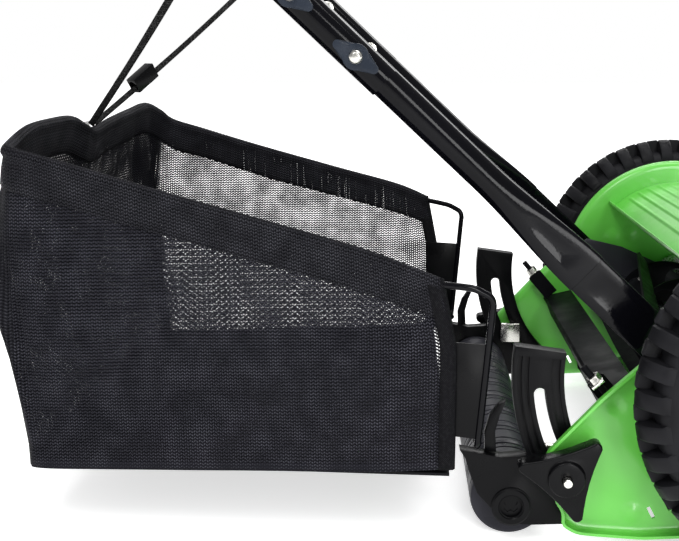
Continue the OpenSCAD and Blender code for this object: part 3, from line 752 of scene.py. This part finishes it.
def add_tyres():
    for side, name in ((-1, "right"), (1, "left")):
        blocks = []
        for row in (0, 1):
            mesh = lug_mesh(row)
            mesh.transform(Matrix.Scale(side, 4, (0, 1, 0)))
            if side < 0:
                mesh.flip_normals()
            blocks.append(bpy.data.objects.new("tread lug", mesh))
            bpy.context.scene.collection.objects.link(blocks[-1])
        tree = tread_tree(blocks)
        count = 144
        vertices = []
        for k in range(count):
            a = 2 * math.pi * k / count
            for r, w in CARCASS:
                vertices.append(at(r * math.cos(a), side * (TYRE_IN + w), AXLE_HEIGHT + r * math.sin(a)))
        rows = len(CARCASS)
        faces = []
        for k in range(count):
            m = (k + 1) % count
            for j in range(rows):
                n = (j + 1) % rows
                faces.append((k * rows + j, k * rows + n, m * rows + n, m * rows + j))
        mesh = bpy.data.meshes.new("tyre_" + name)
        mesh.from_pydata([tuple(v) for v in vertices], [], faces)
        first, second = (side * (TYRE_IN + row) * MM for row in LUG_ROWS)
        lugs = grown("tread_" + name, tree, {"Lugs": LUG_COUNT, "Radius": CARCASS_R * MM,
                                            "First row": first, "Second row": second})
        lugs.data.transform(Matrix.Translation(at(0, 0, AXLE_HEIGHT)))
        bm = bmesh.new()
        bm.from_mesh(mesh)
        bmesh.ops.recalc_face_normals(bm, faces=bm.faces)
        bm.from_mesh(lugs.data)
        bm.to_mesh(mesh)
        bm.free()
        bpy.data.objects.remove(lugs)
        tyre = dress("tyre_" + name + "_tread", mesh, rubber, "wheel_" + name, 34)
        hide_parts("tyre_" + name)
        for block in blocks:
            bpy.data.objects.remove(block)


add_tyres()

# ---- Handle: lower tubes pressed flat onto a stamped strap ----

FLAT_Y, TUBE_Y = 191.5, 184.0
STRAP_END = 140


def ease(t):
    t = min(1.0, max(0.0, t))
    return t * t * (3 - 2 * t)


def tube_section(s):
    """Half width, half thickness, squareness and middle of a lower tube at a distance from the pivot."""
    if s < STRAP_END:
        end = max(0.05, math.sqrt(max(0.0, 1 - (min(0.0, s) / 15) ** 2)))
        return 15 * end, 2.3, 0.28, FLAT_Y - 0.6
    t = ease((s - STRAP_END) / 95)
    return 15.6 - 4.6 * t, 3.2 + 7.8 * t, 0.34 + 0.66 * t, FLAT_Y + (TUBE_Y - FLAT_Y) * t


def add_lower_tubes():
    stations = [-14.9, -14, -12, -9, -5, 0, *range(6, 138, 5), 137, 138.5, 139.6, 140.2, 141, 143, 146,
                *range(150, 236, 4), 250, 300, 350, 400, 438, 439.6, 440]
    around = 56
    for side, name in ((-1, "right"), (1, "left")):
        vertices = []
        for s in stations:
            half_x, half_y, square, middle = tube_section(s)
            if s > 439:
                half_x, half_y = half_x - 0.4, half_y - 0.4
            for k in range(around):
                a = 2 * math.pi * k / around
                c, d = math.cos(a), math.sin(a)
                x = half_x * math.copysign(abs(c) ** square, c)
                y = half_y * math.copysign(abs(d) ** square, d)
                if d > 0:
                    channel = ease((7.5 - abs(x)) / 3.0)
                    if s < STRAP_END:
                        y -= 1.7 * channel * ease((s - 16) / 8) * ease((132 - s) / 5)
                    else:
                        y -= 1.6 * ease((6.0 - abs(x)) / 4.0) * ease((s - 150) / 10) * ease((205 - s) / 45)
                vertices.append(on_handle(x, side * (middle + y), s))
        bore = len(vertices)
        for s, r in ((440, 9.6), (400, 9.6)):
            for k in range(around):
                a = 2 * math.pi * k / around
                vertices.append(on_handle(r * math.cos(a), side * (TUBE_Y + r * math.sin(a)), s))
        rows = len(stations)
        faces = grid_faces(rows + 2, around, closed=True)
        faces.append(tuple(range(around)))
        faces.append(tuple(reversed(range(bore + around, bore + 2 * around))))
        tube = piece("lower_tube_" + name + "_pressing", vertices, faces, black_enamel)
        fix_normals(tube.data)
        tube.data.set_sharp_from_angle(angle=math.radians(50))
        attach(tube, "handle")
        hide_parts("lower_tube_" + name)


add_lower_tubes()


def turned(name, profile, centre, axis_y, material, body, count=40, flat_over=35):
    """A turned shape: (radius, y) pairs spun about a line along Y through centre (x, z)."""
    vertices = []
    for k in range(count):
        a = 2 * math.pi * k / count
        for r, y in profile:
            vertices.append(at(centre[0] + r * math.cos(a), axis_y + y, centre[1] + r * math.sin(a)))
    obj = piece(name, vertices, spun_faces(len(profile), count), material)
    fix_normals(obj.data)
    obj.data.set_sharp_from_angle(angle=math.radians(flat_over))
    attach(obj, body)
    return obj


def handle_point(s):
    return (PIVOT[0] - s * math.cos(HANDLE_ANGLE), PIVOT[1] + s * math.sin(HANDLE_ANGLE))


DOME = [(0.01, 3.4), (1.6, 3.25), (3.0, 2.6), (4.1, 1.5), (4.7, 0.2), (5.2, 0.0), (5.2, -0.6), (0.01, -0.6)]


def add_domes():
    """Bright cap ends in the wing nuts."""
    for side, name in ((-1, "right"), (1, "left")):
        for height, s in (("low", 354), ("high", 411)):
            profile = [(r, side * y) for r, y in DOME]
            nut = f"wing_nut_{name}_{height}"
            dome = turned(nut + "_cap", profile, handle_point(s), side * 227.4, bright_zinc, nut)


add_domes()


def add_sockets():
    """Black caps with a cross recess in the roller brackets, over the ends of the roller's rod."""
    for side, name in ((-1, "right"), (1, "left")):
        rows = [(13.6, 1.6), (13.6, 2.4), (12.6, 3.0), (9.2, 3.0), (8.6, 2.4), (8.4, -1.2)]
        count = 48
        vertices = []
        for k in range(count):
            a = 2 * math.pi * k / count
            cross = 1.0 - 0.32 * max(0.0, math.cos(4 * a))
            for r, y in rows + [(5.4 * cross, -1.2), (5.2 * cross, -1.9)]:
                vertices.append(at(-197 + r * math.cos(a), side * (195 + y), 28 + r * math.sin(a)))
        rows_count = len(rows) + 2
        faces = spun_faces(rows_count, count)
        faces.append(tuple(k * rows_count + rows_count - 1 for k in range(count)))
        cap = piece("roller_socket_" + name, vertices, faces, bracket_black)
        fix_normals(cap.data)
        cap.data.set_sharp_from_angle(angle=math.radians(30))
        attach(cap, "height_adjust")


add_sockets()


def add_adjuster_brackets():
    """Folded black tabs on the bed bar that the adjusting screws pass through."""
    a = math.radians(131)
    along = np.array((math.cos(a), math.sin(a)))
    over = np.array((-along[1], along[0]))
    for side, name in ((-1, "right"), (1, "left")):
        outline = [(-30, -7), (-3.2, -7), (-2.2, -6), (-2.2, 6), (-3.2, 7), (-30, 7)]
        vertices, faces = [], []
        for y in (184, 185.6):
            for s, t in outline:
                p = np.array((-142, 121)) + along * s + over * t
                vertices.append(at(p[0], side * y, p[1]))
        n = len(outline)
        faces.append(tuple(range(n)))
        faces.append(tuple(reversed(range(n, 2 * n))))
        faces += [(k, (k + 1) % n, n + (k + 1) % n, n + k) for k in range(n)]
        tab = piece("adjuster_bracket_" + name, vertices, faces, satin_black)
        fix_normals(tab.data)
        tab.data.set_sharp_from_angle(angle=math.radians(30))
        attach(tab, "deck")


add_adjuster_brackets()

# ---- Hard pieces with broken edges ----

BROKEN_EDGES = {
    "inner_plate_right": (pressed_black, 0.5), "inner_plate_left": (pressed_black, 0.5),
    "front_tie_rod": (satin_black, 0.4), "bed_bar": (satin_black, 0.5), "bed_knife": (ground_steel, 0.3),
    "bed_knife_screws": (bright_zinc, 0.35), "adjuster_screws": (satin_black, 0.3),
    "adjuster_nuts": (bright_zinc, 0.4),
    "axle_nuts": (bright_zinc, 0.4), "reel_bearings": (turned_steel, 0.5), "clamp_bolts": (bright_zinc, 0.6),
    "guide_bolts": (bright_zinc, 0.4), "handle_pivot_bolts": (bright_zinc, 0.4),
    "plate_bolts": (bright_zinc, 0.4),
    "wheel_right": (wheel_black, 0.5), "wheel_left": (wheel_black, 0.5),
    "hub_cap_right": (wheel_black, 1.0), "hub_cap_left": (wheel_black, 1.0),
    "roller_bracket_right": (bracket_black, 0.8), "roller_bracket_left": (bracket_black, 0.8),
    "height_knob_right": (knob_black, 1.8), "height_knob_left": (knob_black, 1.8),
    "handle_bolts": (bright_zinc, 0.5),
    "wing_nut_right_low": (nut_blue_black, 1.4), "wing_nut_right_high": (nut_blue_black, 1.4),
    "wing_nut_left_low": (nut_blue_black, 1.4), "wing_nut_left_high": (nut_blue_black, 1.4),
    "catcher_clip_right": (bracket_black, 0.5), "catcher_clip_left": (bracket_black, 0.5),
    "strap_slider": (knob_black, 1.6), "reel_spiders": (satin_black, 0.4), "stub_axles": (turned_steel, 0.4),
}
for node_name, (finish, width) in BROKEN_EDGES.items():
    softened(node_name, finish, width, segments=3 if width > 1 else 2)

for node_name, finish in {
    "reel_shaft": turned_steel, "reel_blades": blade_steel,
    "pinion_right": turned_steel, "pinion_left": turned_steel,
    "roller_rod": satin_black, "roller_sleeves": roller_black, "upper_handle": black_enamel,
    }.items():
    repaint(node_name, finish)

# ---- Foam grip ----


def add_grip():
    """A foam sleeve with rounded ends and the slight swells that rolling it on leaves."""
    grip = handle_point(1246)
    half, r = 129.3, 14.7
    profile_y = [-half, -half + 0.6, -half + 2.2, *np.linspace(-half + 6, half - 6, 60),
                 half - 2.2, half - 0.6, half]
    profile_r = [r - 3.4, r - 1.2, r - 0.2] + [r] * 60 + [r - 0.2, r - 1.2, r - 3.4]
    count = 48
    vertices = []
    for k in range(count):
        a = 2 * math.pi * k / count
        for radius, y in zip(profile_r, profile_y):
            swell = 0.28 * noise.noise(Vector((math.cos(a), math.sin(a), y * 0.03)))
            q = radius + swell
            vertices.append(at(grip[0] + q * math.cos(a), y, grip[1] + q * math.sin(a)))
    faces = spun_faces(len(profile_y), count)
    sleeve = piece("foam_grip_sleeve", vertices, faces, foam, None)
    fix_normals(sleeve.data)
    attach(sleeve, "handle")
    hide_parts("foam_grip")


add_grip()

# ---- Catcher bag ----

# The rim from the near front corner round the back to the far front corner: x, y, height of the rim,
# height of the floor, and how far the wall is drawn in halfway up
BAG_RIM = [
    (-250, -203, 190, 58, 0), (-300, -201, 208.5, 54, 1), (-370, -198.5, 228, 52.5, 2),
    (-442, -196, 247.5, 51, 3), (-500, -193.5, 264, 49.5, 4), (-532, -191, 272.5, 48.5, 4),
    (-547, -185, 276, 48, 8), (-552, -170, 278, 48, 14), (-551, -130, 286, 48, 19),
    (-548, -85, 288, 48, 20), (-543, -40, 287, 48, 20), (-538, -14, 278, 48, 18),
    (-537, 0, 275, 48, 18), (-536, 14, 276, 48, 18), (-534, 60, 280, 48, 18),
    (-530, 115, 284, 48, 16), (-524, 155, 287, 48.5, 12), (-515, 180, 279, 49, 8),
    (-503, 189, 269, 49.5, 5), (-474, 191, 260, 50, 4), (-420, 194, 243.5, 51.5, 3),
    (-340, 198, 221, 53, 2), (-280, 201, 204.5, 54.5, 1), (-250, 203, 192, 58, 0)]
BAG_REAR_FROM, BAG_REAR_TO = 6, 17
BAG_ROWS = 30
HEM_DEEP = 26


def smooth_path(points, per):
    """Catmull-Rom through the points, with per steps between each pair."""
    out = []
    for i in range(len(points) - 1):
        p = [np.array(points[max(0, min(len(points) - 1, i + k))], float) for k in (-1, 0, 1, 2)]
        for j in range(per):
            t = j / per
            square = 2 * p[0] - 5 * p[1] + 4 * p[2] - p[3]
            cube = -p[0] + 3 * p[1] - 3 * p[2] + p[3]
            out.append(0.5 * (2 * p[1] + (-p[0] + p[2]) * t + square * t * t + cube * t ** 3))
    out.append(np.array(points[-1], float))
    return out


PER = 7
RIM = smooth_path(BAG_RIM, PER)


def outward(i):
    """The direction across the bag's wall, outwards, at a step of the rim."""
    a, b = RIM[max(0, i - 1)], RIM[min(len(RIM) - 1, i + 1)]
    t = np.array([b[0] - a[0], b[1] - a[1]])
    t /= np.hypot(*t)
    return np.array([t[1], -t[0]])


# Creases in the bag's wall: share of the way round the rim, lean, width and depth
CREASES = [(0.045, 0.02, 0.006, 2.4), (0.33, -0.10, 0.012, 5.0), (0.30, 0.05, 0.009, 3.2),
           (0.665, 0.06, 0.008, 4.0), (0.70, 0.10, 0.007, 3.4), (0.60, -0.03, 0.012, 4.0),
           (0.86, 0.05, 0.006, 2.2)]
# How far the floor's edge lies forward of the rim, at the sides and at the back
FORWARD_SIDE, FORWARD_REAR = 3, 5
# How far the front edge swings forward below the rim, and the share of the run that it affects
FRONT_SWING, FRONT_SHARE = 8.5, 0.035


def wall_point(i, down):
    """A point of the wall: step i of the rim, and down from 0 at the rim to 1 at the floor."""
    x, y, top, low, drawn = RIM[i]
    n = outward(i)
    share = i / (len(RIM) - 1)
    z = top + (low - top) * down
    at_side = i < BAG_REAR_FROM * PER or i > BAG_REAR_TO * PER
    x += (FORWARD_SIDE if at_side else FORWARD_REAR) * down
    near_front = math.exp(-(min(share, 1 - share) / FRONT_SHARE) ** 2)
    x += FRONT_SWING * near_front * min(1.0, down / 0.35) * (1 - 0.4 * max(0.0, down - 0.5))
    pull = drawn * math.sin(math.pi * min(1.0, down * 1.06)) ** 1.2
    slack = (4.2 * noise.noise(Vector((share * 17, down * 2.1, 3.7)))
             + 1.6 * noise.noise(Vector((share * 46, down * 4.5, 9.1))))
    crease = -sum(depth * math.exp(-((share - place - lean * down) / width) ** 2)
                  for place, lean, width, depth in CREASES)
    free = math.sin(math.pi * down) ** 0.8 if 0 < down < 1 else 0.0
    end = min(1.0, share * 14, (1 - share) * 14)
    move = (slack + crease) * free * end - pull
    return x + n[0] * move, y + n[1] * move, z


def path_lengths(points):
    total, out = 0.0, [0.0]
    for a, b in zip(points, points[1:]):
        total += float(np.linalg.norm(np.array(b) - np.array(a)))
        out.append(total)
    return out


RUN = path_lengths([p[:2] for p in RIM])


def add_bag_walls():
    """The two sides and the back as one hanging shell, in mesh, with a denser knit across the back."""
    vertices, uv = [], []
    for i in range(len(RIM)):
        for j in range(BAG_ROWS + 1):
            down = j / BAG_ROWS
            x, y, z = wall_point(i, down)
            vertices.append(at(x, y, z))
            uv.append((RUN[i] * MM, (RIM[i][2] - RIM[i][3]) * (1 - down) * MM))
    faces = grid_faces(len(RIM), BAG_ROWS + 1)
    walls = piece("bag_walls", vertices, faces, [side_mesh, rear_mesh], None, uv=uv)
    for k, polygon in enumerate(walls.data.polygons):
        step = k // BAG_ROWS
        polygon.material_index = 1 if BAG_REAR_FROM * PER <= step < BAG_REAR_TO * PER else 0
    area = sum(p.area for p in walls.data.polygons)
    if walls.data.polygons[0].normal.y > 0:
        walls.data.flip_normals()
    thicken(walls, 0.7 * MM, 0)
    settle(walls)
    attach(walls, "catcher")
    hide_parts("bag_side_right", "bag_side_left", "bag_rear")
    return walls, area


def ribbon(name, lines, material, thickness=0.9, body="catcher"):
    """A sheet through equal rows of points, UV mapped in metres, with a little thickness."""
    rows, columns = len(lines), len(lines[0])
    along = path_lengths([line[columns // 2] for line in lines])
    vertices, uv = [], []
    for i, line in enumerate(lines):
        wide = path_lengths(line)
        for j, p in enumerate(line):
            vertices.append(at(*p))
            uv.append((along[i] * MM, wide[j] * MM))
    sheet = piece(name, vertices, grid_faces(rows, columns), material, None, uv=uv)
    area = sum(p.area for p in sheet.data.polygons)
    thicken(sheet, thickness * MM, 0)
    settle(sheet)
    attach(sheet, body)
    return sheet, area


def add_hem():
    """The doubled band along the rim, rolled over the wire and stitched to the wall below it."""
    lines = []
    roll = 4.2
    for i in range(len(RIM)):
        x, y, top, low, _ = RIM[i]
        n = outward(i)
        share = i / (len(RIM) - 1)
        line = []
        deep = HEM_DEEP + 1.2 * noise.noise(Vector((share * 21, 5.0, 0)))
        wave = 0.9 * noise.noise(Vector((share * 60, 1.0, 7)))
        for k in range(6):
            d = deep * (1 - k / 6)
            bulge = 1.6 + 1.2 * math.sin(math.pi * k / 6) + wave * (1 - k / 6)
            px, py, pz = wall_point(i, d / (top - low))
            line.append((px + n[0] * bulge, py + n[1] * bulge, pz))
        for k in range(9):
            a = math.pi * k / 8
            out = roll * math.cos(a)
            line.append((x + n[0] * out, y + n[1] * out, top - 1 + (roll + 0.8) * math.sin(a)))
        for k in range(1, 7):
            d = deep * k / 6
            bulge = 1.6 + 1.2 * math.sin(math.pi * k / 6)
            px, py, pz = wall_point(i, d / (top - low))
            line.append((px - n[0] * bulge, py - n[1] * bulge, pz))
        lines.append(line)
    return ribbon("bag_hem", lines, hem_mesh, 0.8)


def add_binding():
    """Tape folded round the two front edges of the bag."""
    made = []
    for i, name in ((0, "right"), (len(RIM) - 1, "left")):
        side = -1 if RIM[i][1] < 0 else 1
        lines = []
        for j in range(21):
            fx, y, z = wall_point(i, j / 20)
            z += 3.6 * (1 - j / 20)
            fold = ((-9, 2.6), (-4, 3.0), (0.8, 2.2), (2.2, 0), (0.8, -2.2), (-4, -3.0), (-9, -2.6))
            lines.append([(fx + u, y + side * w, z) for u, w in fold])
        made.append(ribbon("bag_binding_" + name, lines, binding_tape, 0.9)[0])
    return made


def add_seam():
    """Tape down the bag's far rear corner, inside."""
    step = BAG_REAR_TO * PER - 2
    n = outward(step)
    lines = []
    for j in range(BAG_ROWS + 1):
        x, y, z = wall_point(step, j / BAG_ROWS)
        lines.append([(x - n[0] * 1.6 + k * 1.3, y - n[1] * 1.6, z) for k in (-2, -1, 0, 1, 2)])
    return ribbon("bag_seam_left", lines, binding_tape, 0.8)[0]


def add_bag_floor():
    """The floor panel with the stiffening board sewn into it."""
    lines = []
    last = len(RIM) - 1
    for a, b in ((i, last - i) for i in range(last // 2)):
        pa, pb = wall_point(a, 1.0), wall_point(b, 1.0)
        line = []
        for k in range(25):
            t = k / 24
            x, y, z = (pa[q] + (pb[q] - pa[q]) * t for q in range(3))
            dip = -0.8 * math.sin(math.pi * t) + 0.35 * noise.noise(Vector((x * 0.02, y * 0.02, 1)))
            line.append((x, y, z + 0.4 + dip))
        lines.append(line)
    floor, area = ribbon("bag_floor_panel", lines, floor_cloth, 1.2)
    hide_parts("bag_floor")
    return floor, area


def wire(name, points, radius, material, body, count=10):
    """Round wire along smooth points, with closed ends."""
    vertices, faces = [], []
    points = [np.array(p, float) for p in points]
    for i, p in enumerate(points):
        run = points[min(len(points) - 1, i + 1)] - points[max(0, i - 1)]
        run /= np.linalg.norm(run)
        side = np.cross(run, (0.31, 0.9, 0.21))
        side /= np.linalg.norm(side)
        up = np.cross(run, side)
        for k in range(count):
            a = 2 * math.pi * k / count
            vertices.append(at(*(p + radius * (side * math.cos(a) + up * math.sin(a)))))
    faces = grid_faces(len(points), count, closed=True)
    faces.append(tuple(range(count)))
    faces.append(tuple(reversed(range((len(points) - 1) * count, len(points) * count))))
    obj = piece(name, vertices, faces, material)
    fix_normals(obj.data)
    obj.data.set_sharp_from_angle(angle=math.radians(60))
    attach(obj, body)
    return obj


# From the hook in the height bracket up the clip to the rim
WIRE_HOOK = [(-222, 187.5, 73.2), (-222, 193, 73.2), (-222, 197.5, 73.6), (-221.7, 200, 77),
             (-221.2, 200, 83), (-217.5, 200, 127), (-214.2, 200, 168), (-213.6, 200.2, 175),
             (-215.5, 200.6, 180.2), (-221, 201.4, 183.6), (-229, 202.2, 187)]


def add_catcher_wire():
    """One bent wire: hooked ends, up the two clips, and round the rim inside the hem."""
    route = []
    for side in (-1, 1):
        route.append([(x, side * y, z) for x, y, z in WIRE_HOOK])
    middle = [(p[0], p[1], p[2] - 0.6) for p in RIM]
    points = smooth_path(route[0] + middle + route[1][::-1], 3)
    frame_wire = wire("catcher_wire", points, 2.5, black_enamel, "catcher")
    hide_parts("catcher_frame")


add_catcher_wire()
bag_walls, walls_area = add_bag_walls()
bag_hem, hem_area = add_hem()
bag_bindings = add_binding()
bag_seam = add_seam()
bag_floor, floor_area = add_bag_floor()
softened("floor_board", board_black, 0.6)

# ---- Lift strap ----

STRAP_LOW = np.array((-536.0, 6.0, 282.0))
STRAP_UP = 481
STRAP_TOP = np.array((handle_point(STRAP_UP)[0], 193.0, handle_point(STRAP_UP)[1]))


def add_strap():
    """Two strands of tape from the bag's rear hem to a loop round each tube."""
    for side, name in ((-1, "right"), (1, "left")):
        lines = []
        steps = 40
        for k in range(steps + 1):
            t = k / steps
            p = STRAP_LOW + (STRAP_TOP - STRAP_LOW) * t
            p[2] -= 3.0 * math.sin(math.pi * t)
            p[1] *= side
            half = 2.7 if side < 0 else 2.4
            run = (STRAP_TOP - STRAP_LOW) * np.array((1, side, 1))
            over = np.cross(run / np.linalg.norm(run), (0, 1, 0))
            over /= np.linalg.norm(over)
            lean = 0.35 * math.sin(2.2 * math.pi * t + side)
            d = over * math.cos(lean) + np.array((0, 1, 0)) * math.sin(lean)
            lines.append([tuple(p + d * half * q) for q in (-1, -0.5, 0, 0.5, 1)])
        strand, _ = ribbon("strap_strand_" + name, lines, strap_tape, 1.3, "strap")
        if side < 0:
            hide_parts("strap")
        # The loop round the tube
        loop = []
        for k in range(33):
            a = 2 * math.pi * k / 32
            r = 12.2
            row = [on_handle(r * math.cos(a), side * (206.3 + r * math.sin(a)), STRAP_UP + w)
                   for w in (-4, -2, 0, 2, 4)]
            loop.append([((p.x - AXLE_X) / MM, p.y / MM, p.z / MM) for p in row])
        ribbon("strap_loop_" + name, loop, strap_tape, 1.2, "handle")
    tab = []
    for k in range(7):
        t = k / 6
        tab.append([(-541 + 1.5 * math.sin(math.pi * t), -10 + 16 * t, 281.5 + w) for w in (-3, 0, 3)])
    ribbon("strap_tab", tab, white_tape, 1.0, "strap")


add_strap()

# ---- Floor and light ----

# Name, place, target, size in metres and power in watts of each lamp
MIDDLE = at(-200, 0, 150)
LIGHTS = [
    ("key", MIDDLE + Vector((-0.5, -1.3, 1.5)), MIDDLE, (0.7, 0.9), 19),
    ("top", MIDDLE + Vector((0.3, 0.3, 1.9)), MIDDLE, (2.4, 0.5), 25),
    ("back", MIDDLE + Vector((0.6, 2.0, 1.2)), MIDDLE, (2.2, 0.5), 16),
    ("front strip", at(300, -1500, 500), at(-50, -200, 150), (0.3, 1.2), 14)]
# Strength of the white room for everything but the camera, which sees it at full strength
ROOM_LIGHT = 0.4


def add_stage():
    mesh = bpy.data.meshes.new("floor")
    half = 8
    corners = [(-half, -half, 0), (half, -half, 0), (half, half, 0), (-half, half, 0)]
    mesh.from_pydata(corners, [], [(0, 1, 2, 3)])
    floor = bpy.data.objects.new("floor", mesh)
    bpy.context.scene.collection.objects.link(floor)
    material = bpy.data.materials.new("studio floor")
    material.use_nodes = True
    shader = material.node_tree.nodes["Principled BSDF"]
    shader.inputs["Base Color"].default_value = (0.93, 0.93, 0.93, 1)
    shader.inputs["Roughness"].default_value = 0.8
    shader.inputs["Emission Color"].default_value = (1, 1, 1, 1)
    tree = material.node_tree
    where = tree.nodes.new("ShaderNodeTexCoord")
    reach = tree.nodes.new("ShaderNodeVectorMath")
    reach.operation = "LENGTH"
    fade = tree.nodes.new("ShaderNodeMapRange")
    fade.interpolation_type = "SMOOTHSTEP"
    for key, value in zip(("From Min", "From Max", "To Min", "To Max"), (0.3, 2.4, 0.62, 1.0)):
        fade.inputs[key].default_value = value
    tree.links.new(where.outputs["Object"], reach.inputs[0])
    tree.links.new(reach.outputs["Value"], fade.inputs["Value"])
    tree.links.new(fade.outputs["Result"], shader.inputs["Emission Strength"])
    mesh.materials.append(material)
    world = bpy.data.worlds.new("studio")
    bpy.context.scene.world = world
    world.use_nodes = True
    tree = world.node_tree
    back = tree.nodes["Background"]
    back.inputs["Color"].default_value = (1, 1, 1, 1)
    seen = tree.nodes.new("ShaderNodeLightPath")
    level = tree.nodes.new("ShaderNodeMapRange")
    level.inputs["To Min"].default_value = ROOM_LIGHT
    level.inputs["To Max"].default_value = 1.0
    tree.links.new(seen.outputs["Is Camera Ray"], level.inputs["Value"])
    tree.links.new(level.outputs["Result"], back.inputs["Strength"])
    for light in LIGHTS:
        add_area(*light)


add_stage()
bpy.context.scene.view_settings.view_transform = "Standard"
